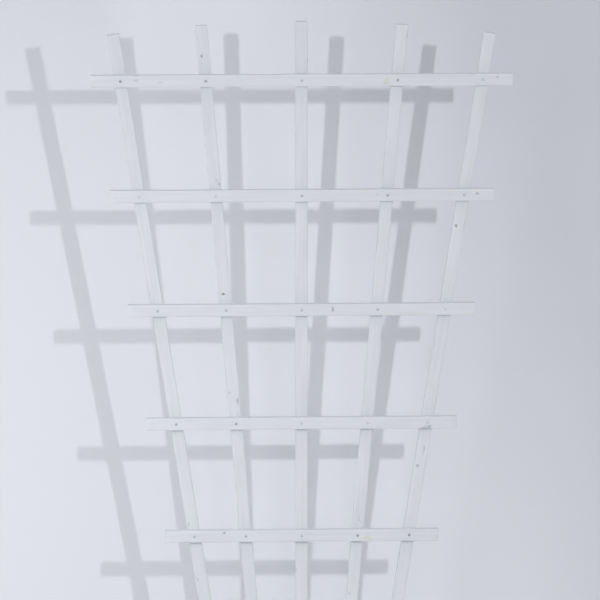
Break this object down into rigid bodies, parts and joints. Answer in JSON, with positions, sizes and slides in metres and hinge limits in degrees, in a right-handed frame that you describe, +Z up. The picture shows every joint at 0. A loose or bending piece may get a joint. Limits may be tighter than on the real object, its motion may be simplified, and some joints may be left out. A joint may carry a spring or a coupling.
{
  "type": "espalier frame",
  "caption": "Fan-shaped garden trellis of white painted battens: ribs bolted together at the foot and spread by nailed level rails, to train a plant on.",
  "frame": {"origin": "under the middle of the foot, on the end of the centre rib", "axes": "+Z up along the centre rib, -Y towards the front where the rails are, +X to the right seen from the front"},
  "size_m": [0.6516, 0.0243, 1.83],
  "materials": {
    "white_paint": "satin white paint on planed softwood",
    "nail_steel": "painted over, worn on the heads",
    "zinc": "zinc plated"
  },
  "bodies": {
    "root": {"rib_far_left": "white_paint", "rib_left": "white_paint", "rib_centre": "white_paint", "rib_right": "white_paint", "rib_far_right": "white_paint", "rail_1": "white_paint", "rail_2": "white_paint", "rail_3": "white_paint", "rail_4": "white_paint", "rail_5": "white_paint", "rail_6": "white_paint", "rail_7": "white_paint", "rail_1_nails": "nail_steel", "rail_2_nails": "nail_steel", "rail_3_nails": "nail_steel", "rail_4_nails": "nail_steel", "rail_5_nails": "nail_steel", "rail_6_nails": "nail_steel", "rail_7_nails": "nail_steel", "lower_foot_bolt": "zinc", "upper_foot_bolt": "zinc", "lower_washer": "zinc", "upper_washer": "zinc", "lower_nut": "zinc", "upper_nut": "zinc"}
  },
  "joints": []
}
